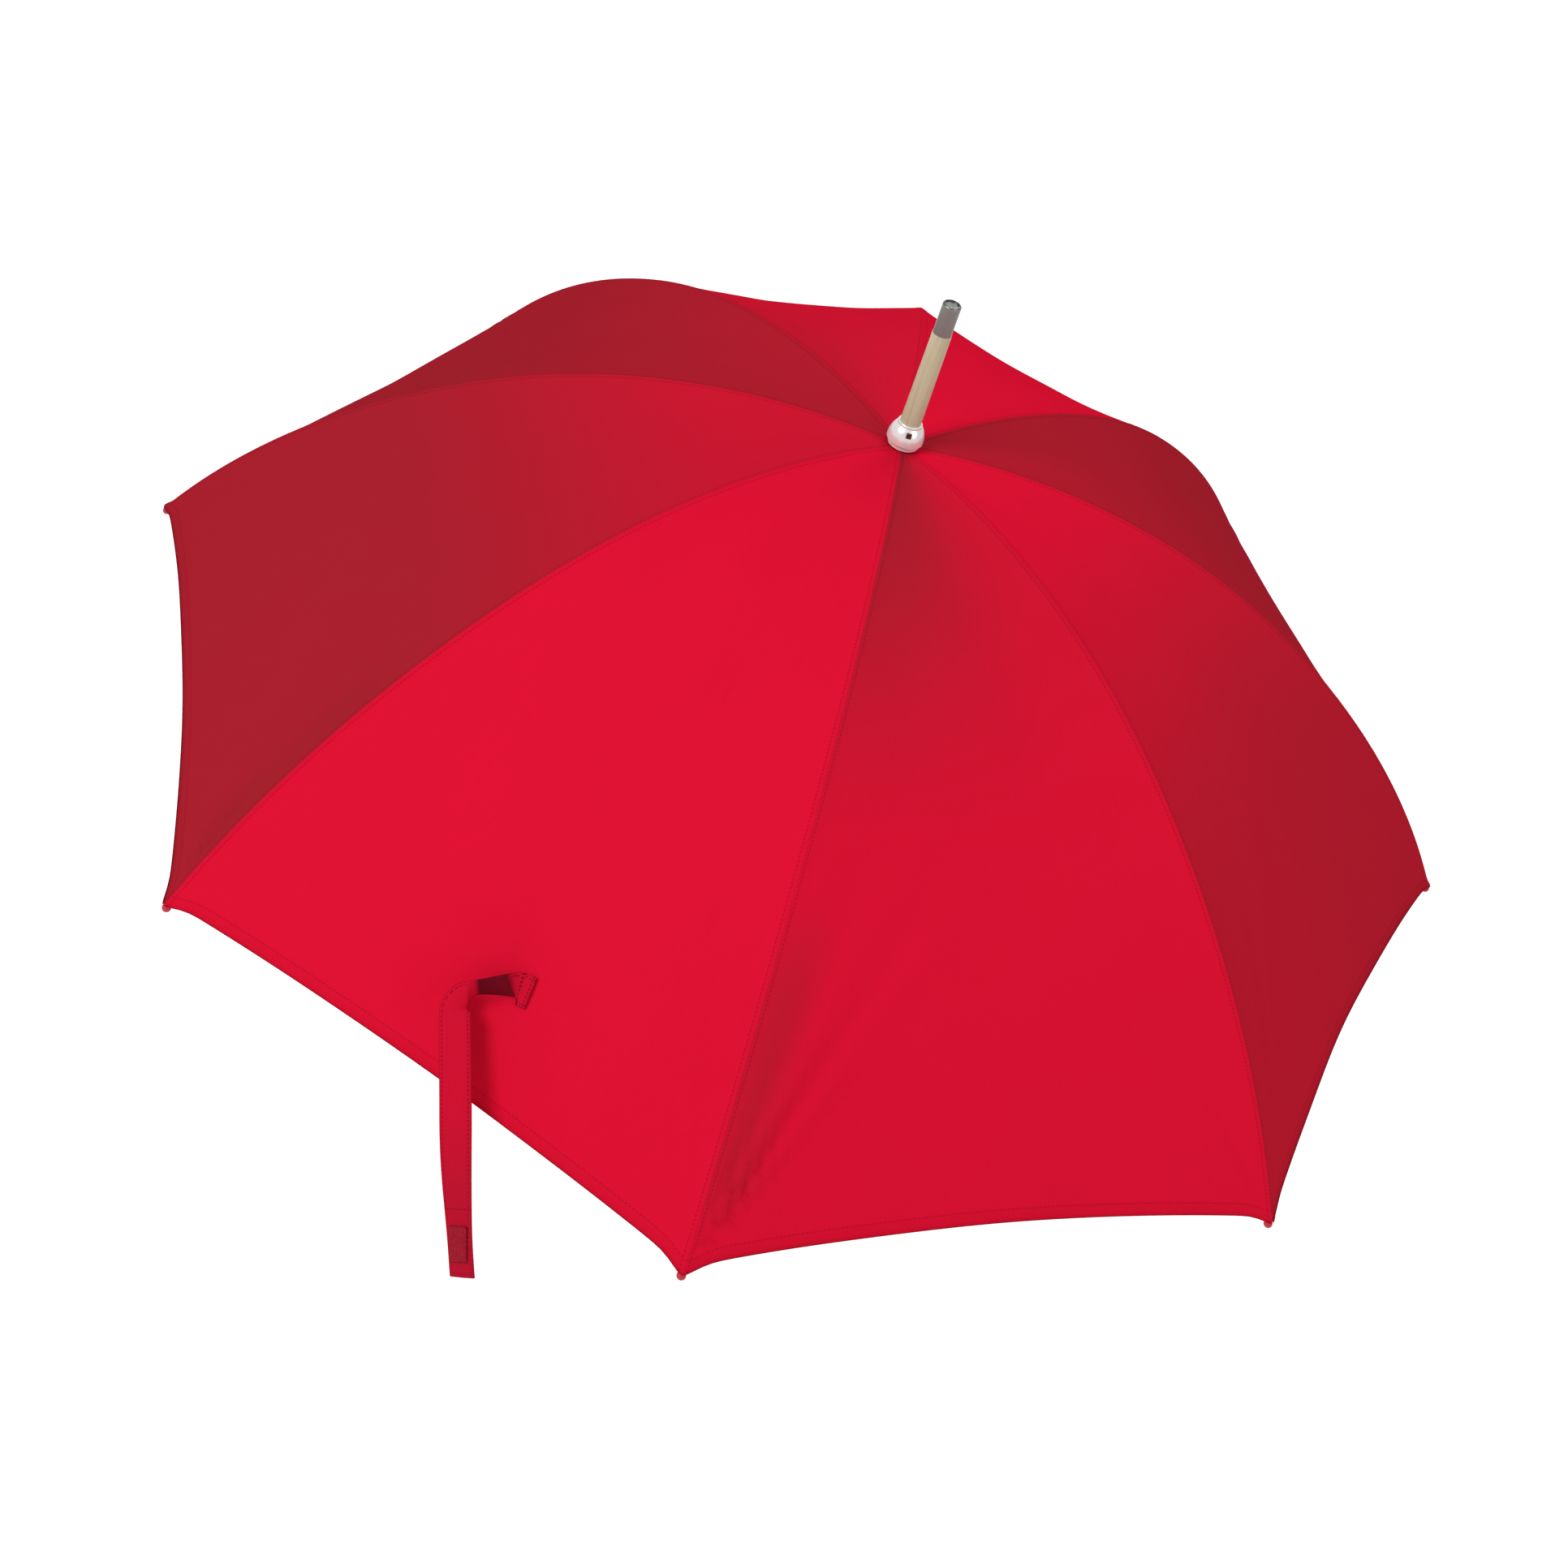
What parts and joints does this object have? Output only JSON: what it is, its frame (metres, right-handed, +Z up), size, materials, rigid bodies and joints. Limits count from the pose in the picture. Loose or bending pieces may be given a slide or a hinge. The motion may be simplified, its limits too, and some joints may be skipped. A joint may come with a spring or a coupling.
{
  "type": "stick umbrella",
  "caption": "Stick umbrella with a domed cloth canopy, folding rib and stretcher frame, sliding runner, wooden shaft, plated crown cap, closing strap and crook handle.",
  "frame": {"origin": "on the shaft axis in the middle of the hand grip", "axes": "+Z up the shaft to the ferrule, rib 1 along +X, the crook turns towards +X"},
  "size_m": [1.0388, 1.0388, 0.8755],
  "materials": {
    "shaft_wood": "smooth clear-lacquered pale wood",
    "handle_wood": "lacquered darker wood",
    "tip_metal": "dull dark metal",
    "chrome_trim": "bright plated",
    "rib_fibreglass": "smooth black glass-fibre rod and moulded fork",
    "frame_steel": "zinc-bright pressed steel",
    "tip_nub_plastic": "colour-matched moulded nub",
    "canopy_cloth": "fine plain-weave pongee",
    "strap_cloth": "doubled canopy cloth, edge-stitched",
    "hook_tape": "woven hook tape",
    "washer_fibre": "thin fibre disc",
    "hub_nylon": "black glass-filled nylon",
    "wire_steel": "bright drawn wire and pins"
  },
  "bodies": {
    "shaft": {"shaft": "shaft_wood", "ferrule_tip": "tip_metal", "crown_cap": "chrome_trim", "cap_tack": "wire_steel", "crown_washer": "washer_fibre", "top_notch": "hub_nylon", "notch_wire": "wire_steel", "stop_pin": "wire_steel", "catch_pins": "wire_steel", "handle": "handle_wood", "handle_collar": "chrome_trim"},
    "rib_inner_1": {"rib_inner_1": "frame_steel", "canopy_gore_1": "canopy_cloth"},
    "rib_outer_1": {"rib_outer_1": "rib_fibreglass", "rib_tip_1": "tip_nub_plastic"},
    "stretcher_1": {"stretcher_1": "frame_steel"},
    "rib_inner_2": {"rib_inner_2": "frame_steel", "canopy_gore_2": "canopy_cloth"},
    "rib_outer_2": {"rib_outer_2": "rib_fibreglass", "rib_tip_2": "tip_nub_plastic"},
    "stretcher_2": {"stretcher_2": "frame_steel"},
    "rib_inner_3": {"rib_inner_3": "frame_steel", "canopy_gore_3": "canopy_cloth"},
    "rib_outer_3": {"rib_outer_3": "rib_fibreglass", "rib_tip_3": "tip_nub_plastic"},
    "stretcher_3": {"stretcher_3": "frame_steel"},
    "rib_inner_4": {"rib_inner_4": "frame_steel", "canopy_gore_4": "canopy_cloth"},
    "rib_outer_4": {"rib_outer_4": "rib_fibreglass", "rib_tip_4": "tip_nub_plastic"},
    "stretcher_4": {"stretcher_4": "frame_steel"},
    "rib_inner_5": {"rib_inner_5": "frame_steel", "canopy_gore_5": "canopy_cloth"},
    "rib_outer_5": {"rib_outer_5": "rib_fibreglass", "rib_tip_5": "tip_nub_plastic"},
    "stretcher_5": {"stretcher_5": "frame_steel"},
    "rib_inner_6": {"rib_inner_6": "frame_steel", "canopy_gore_6": "canopy_cloth"},
    "rib_outer_6": {"rib_outer_6": "rib_fibreglass", "rib_tip_6": "tip_nub_plastic"},
    "stretcher_6": {"stretcher_6": "frame_steel"},
    "rib_inner_7": {"rib_inner_7": "frame_steel", "canopy_gore_7": "canopy_cloth"},
    "rib_outer_7": {"rib_outer_7": "rib_fibreglass", "rib_tip_7": "tip_nub_plastic"},
    "stretcher_7": {"stretcher_7": "frame_steel"},
    "rib_inner_8": {"rib_inner_8": "frame_steel", "canopy_gore_8": "canopy_cloth"},
    "rib_outer_8": {"rib_outer_8": "rib_fibreglass", "rib_tip_8": "tip_nub_plastic"},
    "stretcher_8": {"stretcher_8": "frame_steel"},
    "runner": {"runner": "hub_nylon", "runner_wire": "wire_steel"},
    "top_catch": {"top_catch": "wire_steel"},
    "bottom_catch": {"bottom_catch": "wire_steel"},
    "strap_tab": {"strap_tab": "strap_cloth"},
    "strap": {"strap": "strap_cloth", "strap_patch": "hook_tape"}
  },
  "joints": [
    {"name": "canopy_fold", "type": "hinge", "parent": "shaft", "child": "rib_inner_1", "pos_m": [0.012, 0, 0.668], "axis": [0, 1, 0], "range_deg": [0, 76.65], "deforming": ["canopy_gore_1", "canopy_gore_2", "canopy_gore_3", "canopy_gore_4", "canopy_gore_5", "canopy_gore_6", "canopy_gore_7", "canopy_gore_8", "strap_tab", "strap", "strap_patch"]},
    {"name": "rib_1_flex", "type": "hinge", "parent": "rib_inner_1", "child": "rib_outer_1", "pos_m": [0.291, 0, 0.61704], "axis": [0, 1, 0], "range_deg": [-27.11, 0]},
    {"name": "stretcher_1_knee", "type": "hinge", "parent": "rib_inner_1", "child": "stretcher_1", "pos_m": [0.291, 0, 0.61704], "axis": [0, 1, 0], "range_deg": [-153.32, 0]},
    {"name": "rib_2_fold", "type": "hinge", "parent": "shaft", "child": "rib_inner_2", "pos_m": [0.00848, 0.00848, 0.668], "axis": [-0.7071, 0.7071, 0], "range_deg": [0, 76.66]},
    {"name": "rib_2_flex", "type": "hinge", "parent": "rib_inner_2", "child": "rib_outer_2", "pos_m": [0.20577, 0.20577, 0.61704], "axis": [-0.7071, 0.7071, 0], "range_deg": [-27.11, 0]},
    {"name": "stretcher_2_knee", "type": "hinge", "parent": "rib_inner_2", "child": "stretcher_2", "pos_m": [0.20577, 0.20577, 0.61704], "axis": [-0.7071, 0.7071, 0], "range_deg": [-153.32, 0]},
    {"name": "rib_3_fold", "type": "hinge", "parent": "shaft", "child": "rib_inner_3", "pos_m": [0, 0.012, 0.668], "axis": [-1, 0, 0], "range_deg": [0, 76.66]},
    {"name": "rib_3_flex", "type": "hinge", "parent": "rib_inner_3", "child": "rib_outer_3", "pos_m": [0, 0.291, 0.61704], "axis": [-1, 0, 0], "range_deg": [-27.11, 0]},
    {"name": "stretcher_3_knee", "type": "hinge", "parent": "rib_inner_3", "child": "stretcher_3", "pos_m": [0, 0.291, 0.61704], "axis": [-1, 0, 0], "range_deg": [-153.32, 0]},
    {"name": "rib_4_fold", "type": "hinge", "parent": "shaft", "child": "rib_inner_4", "pos_m": [-0.00848, 0.00848, 0.668], "axis": [-0.7071, -0.7071, 0], "range_deg": [0, 76.66]},
    {"name": "rib_4_flex", "type": "hinge", "parent": "rib_inner_4", "child": "rib_outer_4", "pos_m": [-0.20577, 0.20577, 0.61704], "axis": [-0.7071, -0.7071, 0], "range_deg": [-27.11, 0]},
    {"name": "stretcher_4_knee", "type": "hinge", "parent": "rib_inner_4", "child": "stretcher_4", "pos_m": [-0.20577, 0.20577, 0.61704], "axis": [-0.7071, -0.7071, 0], "range_deg": [-153.32, 0]},
    {"name": "rib_5_fold", "type": "hinge", "parent": "shaft", "child": "rib_inner_5", "pos_m": [-0.012, 0, 0.668], "axis": [0, -1, 0], "range_deg": [0, 76.66]},
    {"name": "rib_5_flex", "type": "hinge", "parent": "rib_inner_5", "child": "rib_outer_5", "pos_m": [-0.291, 0, 0.61704], "axis": [0, -1, 0], "range_deg": [-27.11, 0]},
    {"name": "stretcher_5_knee", "type": "hinge", "parent": "rib_inner_5", "child": "stretcher_5", "pos_m": [-0.291, 0, 0.61704], "axis": [0, -1, 0], "range_deg": [-153.32, 0]},
    {"name": "rib_6_fold", "type": "hinge", "parent": "shaft", "child": "rib_inner_6", "pos_m": [-0.00848, -0.00848, 0.668], "axis": [0.7071, -0.7071, 0], "range_deg": [0, 76.66]},
    {"name": "rib_6_flex", "type": "hinge", "parent": "rib_inner_6", "child": "rib_outer_6", "pos_m": [-0.20577, -0.20577, 0.61704], "axis": [0.7071, -0.7071, 0], "range_deg": [-27.11, 0]},
    {"name": "stretcher_6_knee", "type": "hinge", "parent": "rib_inner_6", "child": "stretcher_6", "pos_m": [-0.20577, -0.20577, 0.61704], "axis": [0.7071, -0.7071, 0], "range_deg": [-153.32, 0]},
    {"name": "rib_7_fold", "type": "hinge", "parent": "shaft", "child": "rib_inner_7", "pos_m": [0, -0.012, 0.668], "axis": [1, 0, 0], "range_deg": [0, 76.66]},
    {"name": "rib_7_flex", "type": "hinge", "parent": "rib_inner_7", "child": "rib_outer_7", "pos_m": [0, -0.291, 0.61704], "axis": [1, 0, 0], "range_deg": [-27.11, 0]},
    {"name": "stretcher_7_knee", "type": "hinge", "parent": "rib_inner_7", "child": "stretcher_7", "pos_m": [0, -0.291, 0.61704], "axis": [1, 0, 0], "range_deg": [-153.32, 0]},
    {"name": "rib_8_fold", "type": "hinge", "parent": "shaft", "child": "rib_inner_8", "pos_m": [0.00848, -0.00848, 0.668], "axis": [0.7071, 0.7071, 0], "range_deg": [0, 76.66]},
    {"name": "rib_8_flex", "type": "hinge", "parent": "rib_inner_8", "child": "rib_outer_8", "pos_m": [0.20577, -0.20577, 0.61704], "axis": [0.7071, 0.7071, 0], "range_deg": [-27.11, 0]},
    {"name": "stretcher_8_knee", "type": "hinge", "parent": "rib_inner_8", "child": "stretcher_8", "pos_m": [0.20577, -0.20577, 0.61704], "axis": [0.7071, 0.7071, 0], "range_deg": [-153.32, 0]},
    {"name": "runner_level", "type": "hinge", "parent": "stretcher_1", "child": "runner", "pos_m": [0.012, 0, 0.56609], "axis": [0, 1, 0], "range_deg": [0, 76.66]},
    {"name": "top_catch_press", "type": "hinge", "parent": "shaft", "child": "top_catch", "pos_m": [0.00407, 0.00168, 0.50539], "axis": [-0.3827, 0.9239, 0], "range_deg": [0, 7]},
    {"name": "bottom_catch_press", "type": "hinge", "parent": "shaft", "child": "bottom_catch", "pos_m": [0.00407, 0.00168, 0.09554], "axis": [0.3827, -0.9239, 0], "range_deg": [0, 7]},
    {"name": "strap_gather", "type": "slide", "parent": "rib_outer_3", "child": "strap_tab", "axis": [0.9239, 0.3827, 0], "range_m": [0, 0.1802]},
    {"name": "strap_swing", "type": "hinge", "parent": "strap_tab", "child": "strap", "pos_m": [-0.1817, 0.414, 0.4781], "axis": [0, -0.7547, -0.6561], "range_deg": [0, 48.72]}
  ],
  "couplings": [
    {"joint": "rib_1_flex", "follows": "canopy_fold", "ratio": -0.3536},
    {"joint": "stretcher_1_knee", "follows": "canopy_fold", "ratio": -2},
    {"joint": "rib_2_fold", "follows": "canopy_fold", "ratio": 1},
    {"joint": "rib_2_flex", "follows": "canopy_fold", "ratio": -0.3536},
    {"joint": "stretcher_2_knee", "follows": "canopy_fold", "ratio": -2},
    {"joint": "rib_3_fold", "follows": "canopy_fold", "ratio": 1},
    {"joint": "rib_3_flex", "follows": "canopy_fold", "ratio": -0.3536},
    {"joint": "stretcher_3_knee", "follows": "canopy_fold", "ratio": -2},
    {"joint": "rib_4_fold", "follows": "canopy_fold", "ratio": 1},
    {"joint": "rib_4_flex", "follows": "canopy_fold", "ratio": -0.3536},
    {"joint": "stretcher_4_knee", "follows": "canopy_fold", "ratio": -2},
    {"joint": "rib_5_fold", "follows": "canopy_fold", "ratio": 1},
    {"joint": "rib_5_flex", "follows": "canopy_fold", "ratio": -0.3536},
    {"joint": "stretcher_5_knee", "follows": "canopy_fold", "ratio": -2},
    {"joint": "rib_6_fold", "follows": "canopy_fold", "ratio": 1},
    {"joint": "rib_6_flex", "follows": "canopy_fold", "ratio": -0.3536},
    {"joint": "stretcher_6_knee", "follows": "canopy_fold", "ratio": -2},
    {"joint": "rib_7_fold", "follows": "canopy_fold", "ratio": 1},
    {"joint": "rib_7_flex", "follows": "canopy_fold", "ratio": -0.3536},
    {"joint": "stretcher_7_knee", "follows": "canopy_fold", "ratio": -2},
    {"joint": "rib_8_fold", "follows": "canopy_fold", "ratio": 1},
    {"joint": "rib_8_flex", "follows": "canopy_fold", "ratio": -0.3536},
    {"joint": "stretcher_8_knee", "follows": "canopy_fold", "ratio": -2},
    {"joint": "runner_level", "follows": "canopy_fold", "ratio": 1},
    {"joint": "strap_gather", "follows": "canopy_fold", "m_per_rad": 0.13455},
    {"joint": "strap_swing", "follows": "canopy_fold", "ratio": 0.63536}
  ]
}
